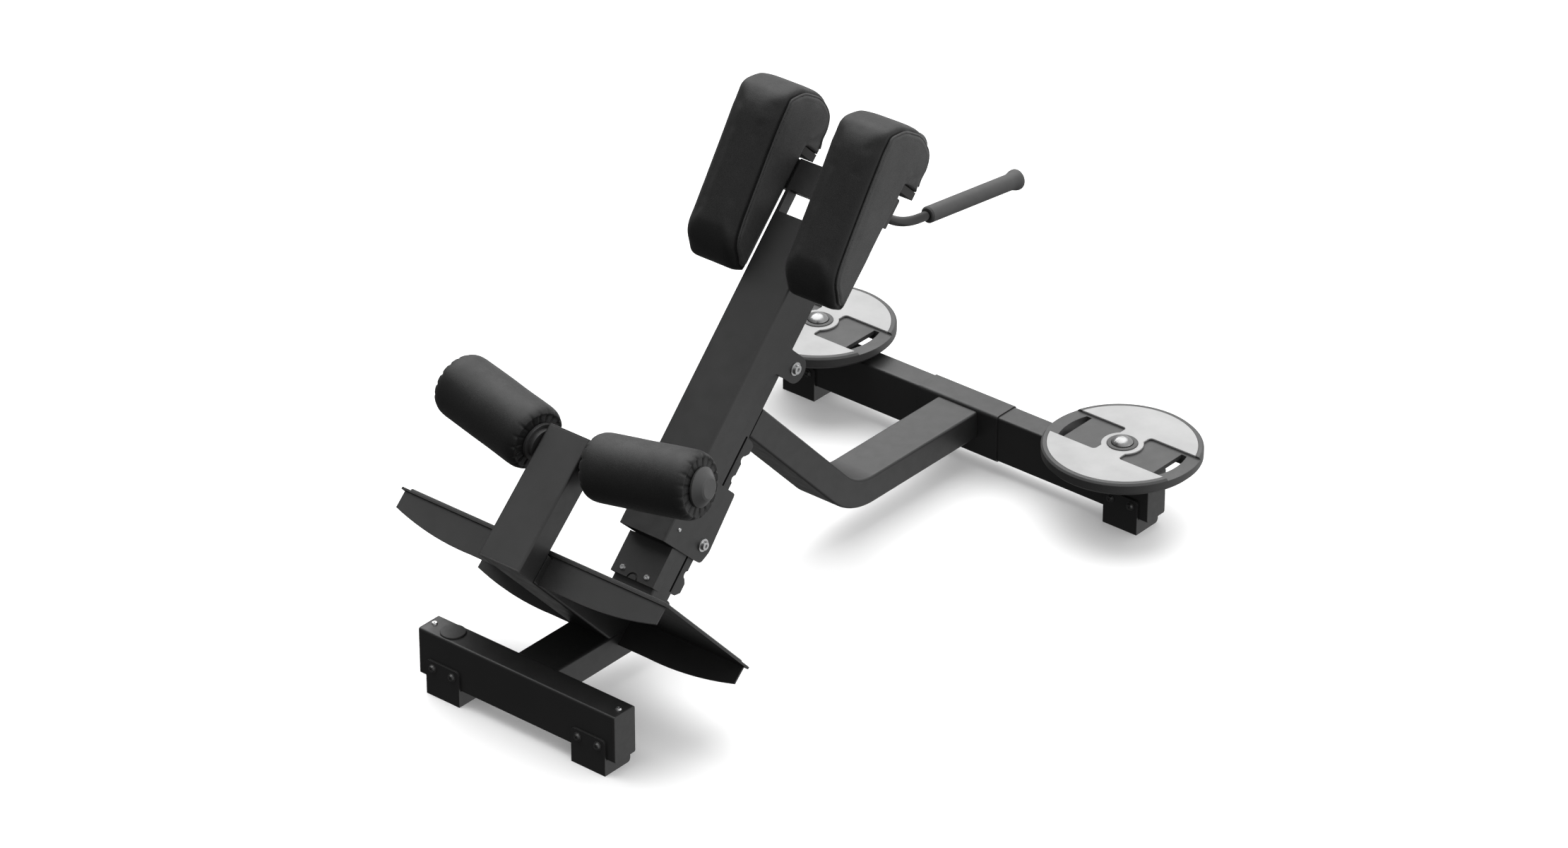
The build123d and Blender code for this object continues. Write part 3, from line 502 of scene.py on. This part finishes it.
def simulate_cloth(piece, pinned):
    group = piece.vertex_groups.new(name="pin")
    group.add([int(i) for i in np.nonzero(pinned)[0]], 1.0, "REPLACE")
    cloth = piece.modifiers.new("Cloth", "CLOTH")
    cloth.settings.quality = 4
    cloth.settings.mass = 0.3
    cloth.settings.tension_stiffness = 14
    cloth.settings.compression_stiffness = 14
    cloth.settings.shear_stiffness = 5
    cloth.settings.bending_stiffness = 0.6
    cloth.settings.use_pressure = True
    cloth.settings.uniform_pressure_force = CLOTH_PRESSURE
    cloth.settings.effector_weights.gravity = 0
    cloth.settings.vertex_group_mass = "pin"
    cloth.point_cache.frame_start = 1
    cloth.point_cache.frame_end = CLOTH_FRAMES
    for step in range(1, CLOTH_FRAMES + 1):
        bpy.context.scene.frame_set(step)
    apply_modifiers(piece)
    bpy.context.scene.frame_set(1)
    piece.vertex_groups.clear()


def inflate(piece, pinned, held):
    """Swells the cover as cloth over foam, up to the cap; pinned points stay, held ones aren't relaxed."""
    start = read_points(piece.data)
    simulate_cloth(piece, pinned)
    moved = read_points(piece.data) - start
    distance = np.linalg.norm(moved, axis=1)
    moved *= (np.minimum(distance, SWELL_CAP) / np.maximum(distance, 1e-9))[:, None]
    moved[pinned] = 0
    store(piece.data, start + moved)
    relax(piece, ~held, RELAX_ROUNDS)


def bell(d, centre, width):
    """1 at the centre, falling off smoothly on both sides."""
    return np.exp(-((d - centre) / width) ** 2)


def seam_relief(d, y, s, n):
    """How far the stitching lifts or sinks the cover, in mm, at seam distance d."""
    on_side = np.clip((np.abs(y) - 30) / 12, 0, 1)
    shown = np.where(n < -5, np.clip((s - 1190) / 28, 0, 1), 1.0)
    shown = np.where((n < 6) & (s < 1100), np.clip((n + 8) / 14, 0, 1), shown)
    groove = -2.4 * bell(d, -2.5, 2.6) * shown
    welt = 1.0 * bell(d, 6.0, 3.4) * shown
    pull = 0.5 * bell(d, -8.0, 4.0) * shown
    return on_side * (groove + welt + pull)


def cover_unevenness(co):
    """Small creases and a softer waviness of the vinyl, in mm."""
    crease = np.array([noise.noise(Vector(p) * 26.0) for p in co]) * 0.15
    soft = np.array([noise.noise(Vector(p) * 9.0 + Vector((3.1, 0, 0))) for p in co]) * 0.4
    return crease + soft


def add_piping(piece, side, hand):
    """A cord of vinyl along the seam on each face of the pad, in a lighter vinyl that paints in its
    highlight.
    """
    mesh = piece.data
    points = [tuple(p) for p in read_points(mesh)]
    tree = BVHTree.FromPolygons(points, [tuple(p.vertices) for p in mesh.polygons])
    for sign, edge in ((-1, "a"), (1, "b")):
        outside = side * PAD_MIDDLE + sign * (PAD_HALF + 25)
        path = []
        for k in seam_range():
            at = beam_point(SEAM_LINE[k][0], SEAM_LINE[k][1], outside)
            hit = tree.ray_cast(at, Vector((0, -sign, 0)))[0]
            if hit is not None:
                path.append(hit + Vector((0, sign * PIPING_PROUD, 0)))
        line = np.array([tuple(p) for p in path])
        for _ in range(3):
            line[1:-1] = (line[:-2] + 2 * line[1:-1] + line[2:]) / 4
        route = [Vector(p) for p in line]
        tube(f"pad_piping_{hand}_{edge}", route, PIPING_RADIUS, "carriage", LIT_PIPING_VINYL)


def make_pad(side, hand):
    piece = pad_start_mesh(f"hip_pad_{hand}", side)
    remesh(piece, VOXEL)
    s, n = beam_coordinates(read_points(piece.data))
    resting = (n < -7.5) & (s < HOOK_START) | (s < HOOK_START + 4.5) & (n < -13)
    crisp = (n < 4) & (s < 1200)
    inflate(piece, resting, resting | crisp)
    subdivide(piece)
    mesh = piece.data
    co = read_points(mesh)
    normals = read_points(mesh, "normal")
    s, n = beam_coordinates(co)
    y = co[:, 1] * 1000 - side * PAD_MIDDLE
    d = seam_distance(s, n)
    on_board = (n < -7.5) & (s < HOOK_START + 4)
    lift = seam_relief(d, y, s, n) + np.where(on_board, 0.0, cover_unevenness(co))
    store(mesh, co + normals * (lift / 1000)[:, None])
    mesh.materials.clear()
    mesh.materials.append(MATERIALS["black_vinyl"])
    mesh.materials.append(LIT_SIDE_PANEL_VINYL)
    # the side panels take the lighter vinyl, whose colour is painted light on the pad's sides
    panel = (np.abs(y) > SIDE_PANEL_FROM) & (d > 1.0)
    for polygon in mesh.polygons:
        polygon.material_index = int(all(panel[i] for i in polygon.vertices))
    mesh.shade_smooth()
    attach(piece, "carriage")
    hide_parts(f"pad_{hand}")
    add_piping(piece, side, hand)


# ---- ankle rollers, in millimetres along and round their axle ------------
DECK_ANGLE = math.radians(43)
DECK_M = Vector((math.cos(DECK_ANGLE), 0, math.sin(DECK_ANGLE)))
DECK_D = Vector((math.sin(DECK_ANGLE), 0, -math.cos(DECK_ANGLE)))
DECK_HEEL = Vector((FRONT_X + 0.0556, 0, 0.3799))
ROLLER_START = DECK_HEEL + DECK_M * 0.1643 - DECK_D * 0.0438
ROLLER_TILT = math.radians(10.26)
ROLLER_SPAN = (72.0, 303.0)
ROLLER_RADIUS = 65.5
ROLLER_MIDDLE = 180
ROLLER_END = [
    # distance in from the end face, radius, how far a pleat pulls in, how far it sinks
    (2.2, 26, 0.0, 0.0), (2.2, 36, 0.0, 1.0), (2.4, 40, 0.4, 2.0), (2.6, 45, 0.8, 2.8),
    (2.8, 50, 1.6, 3.1), (2.6, 54.2, 2.6, 2.9), (1.0, 56.2, 3.6, 2.4), (1.3, 57.8, 3.4, 1.6),
    (3.2, 59.6, 2.0, 0.8), (6.0, 61.4, 0.9, 0.3), (9.5, 63.0, 0.35, 0.0), (14.0, 64.4, 0.1, 0.0),
    (20.0, 65.2, 0.0, 0.0), (27.0, ROLLER_RADIUS, 0.0, 0.0),
]
PLEATS = 17
POINTS_PER_PLEAT = 16
PLEAT_WIDTH = 0.13
CAP_END_TURN = 0.4
LUMPS_FROM_RADIUS = 45


def roller_profile():
    """(t, radius, pull, sink) along the roller in mm, from the hub end to the cap end."""
    low, high = ROLLER_SPAN
    hub = [(low + t, r, pull, sink) for t, r, pull, sink in ROLLER_END]
    cap = [(high - t, r, pull, -sink) for t, r, pull, sink in reversed(ROLLER_END)]
    between = np.linspace(hub[-1][0] + 6, cap[0][0] - 6, 26)
    return hub + [(t, ROLLER_RADIUS, 0.0, 0.0) for t in between] + cap


def make_roller(side, hand):
    lean = (Vector((0, side * math.cos(ROLLER_TILT), 0)) + DECK_M * math.sin(ROLLER_TILT)).normalized()
    u = lean.orthogonal().normalized()
    v = lean.cross(u)
    rows = roller_profile()
    around = PLEATS * POINTS_PER_PLEAT
    rng = np.random.default_rng(7 + side)
    jitter = rng.uniform(-0.13, 0.13, PLEATS)
    weight = rng.uniform(0.65, 1.2, PLEATS)

    def gather(place):
        """How strongly a pleat shows at a place that is counted in pleats round the roller."""
        nearest = round(place)
        which = int(nearest) % PLEATS
        off = (place - nearest) - jitter[which] * 0.5
        return math.exp(-(off / PLEAT_WIDTH) ** 2) * weight[which]

    verts = []
    for t, radius, pull, sink in rows:
        turn = CAP_END_TURN if t > ROLLER_MIDDLE else 0.0
        for k in range(around):
            angle = 2 * math.pi * k / around
            crease = gather(k / POINTS_PER_PLEAT + turn)
            direction = u * math.cos(angle) + v * math.sin(angle)
            lump = noise.noise(Vector((math.cos(angle) * 1.5, math.sin(angle) * 1.5, t / 70 + side))) * 0.7
            r = radius - pull * crease + (lump if radius > LUMPS_FROM_RADIUS else 0.0)
            verts.append(ROLLER_START + lean * ((t + sink * crease) / 1000) + direction * (r / 1000))
    faces = ring_faces(len(rows), around)
    vinyl_cover = MATERIALS["black_vinyl"]
    piece = new_piece(f"roller_cover_{hand}", verts, faces, f"{hand}_roller", vinyl_cover)
    face_outward(piece.data)
    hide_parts(f"ankle_roller_{hand}")


for side, hand in ((1, "left"), (-1, "right")):
    make_pad(side, hand)
    make_roller(side, hand)


# ---- floor, light and camera -------------------------------------------
FLOOR_REACH = 40.0
FLOOR_GLOW = 0.17
WHITE = (1, 1, 1, 1)
MIDDLE = (0.0, 0.0, 0.4)
BRIGHT_SIDE = (0.62, -0.45, 0.64)
SUN_DIRECTION = (-0.25, -0.35, -1.0)
CAMERA_PLACE = (-7.6151, -6.4244, 6.0919)
CAMERA_AIM = (0.4677, 0.3579, 0)
CAMERA_LENS = 138.19


def aim(direction):
    """Rotation that points a lamp or camera along a direction."""
    return direction.to_track_quat("-Z", "Y").to_euler()


def make_floor():
    """A pale floor that glows faintly and isn't seen in bounced light or reflections."""
    mesh = bpy.data.meshes.new("studio_floor")
    corners = [(-1, -1), (1, -1), (1, 1), (-1, 1)]
    mesh.from_pydata([(x * FLOOR_REACH, y * FLOOR_REACH, 0) for x, y in corners], [], [(0, 1, 2, 3)])
    floor = bpy.data.objects.new("studio_floor", mesh)
    COLLECTION.objects.link(floor)
    g = Graph("studio_floor")
    tint = g.mix(g.noise(0.6), grey(0.86), grey(0.87))
    mesh.materials.append(
        g.surface(tint, Roughness=0.85, Emission_Color=WHITE, Emission_Strength=FLOOR_GLOW)
    )
    floor.visible_glossy = False
    floor.visible_diffuse = False


def make_world():
    """White surroundings that are brightest above and to the right of the camera's view."""
    world = bpy.data.worlds.new("studio")
    world.use_nodes = True
    tree = world.node_tree
    direction = tree.nodes.new("ShaderNodeTexCoord")
    facing = tree.nodes.new("ShaderNodeVectorMath")
    facing.operation = "DOT_PRODUCT"
    facing.inputs[1].default_value = BRIGHT_SIDE
    strength = tree.nodes.new("ShaderNodeMapRange")
    strength.interpolation_type = "SMOOTHSTEP"
    for key, value in (("From Min", -0.75), ("From Max", 0.85), ("To Min", 0.09), ("To Max", 1.05)):
        strength.inputs[key].default_value = value
    background = tree.nodes["Background"]
    tree.links.new(direction.outputs["Generated"], facing.inputs[0])
    tree.links.new(facing.outputs["Value"], strength.inputs["Value"])
    tree.links.new(strength.outputs["Result"], background.inputs["Strength"])
    background.inputs["Color"].default_value = WHITE
    bpy.context.scene.world = world


def soft_sun():
    sun = bpy.data.lights.new("soft_sky", "SUN")
    sun.energy = 3.1
    sun.angle = math.radians(75)
    sky = bpy.data.objects.new("soft_sky", sun)
    sky.rotation_euler = aim(Vector(SUN_DIRECTION))
    COLLECTION.objects.link(sky)


def area_light(name, place, target, size, power):
    light = bpy.data.lights.new(name, "AREA")
    light.shape = "RECTANGLE"
    light.size, light.size_y = size
    light.energy = power
    light.spread = math.radians(180)
    lamp = bpy.data.objects.new(name, light)
    lamp.location = place
    lamp.rotation_euler = aim(Vector(target) - Vector(place))
    COLLECTION.objects.link(lamp)


def make_camera():
    lens = bpy.data.cameras.new("photo_view")
    lens.sensor_width = 36.0
    lens.sensor_fit = "HORIZONTAL"
    lens.lens = CAMERA_LENS
    lens.clip_start = 0.1
    lens.clip_end = 100
    camera = bpy.data.objects.new("photo_view", lens)
    camera.location = CAMERA_PLACE
    camera.rotation_euler = aim(Vector(CAMERA_AIM) - camera.location)
    COLLECTION.objects.link(camera)
    bpy.context.scene.camera = camera


make_floor()
make_world()
bpy.context.scene.view_settings.view_transform = "Standard"
soft_sun()
area_light("right_side", (1.8, -4.6, 1.7), MIDDLE, (3.0, 2.2), 15)
area_light("back_strip", (1.5, 3.6, 2.6), (0, 0, 0.6), (3.4, 0.7), 16)
make_camera()
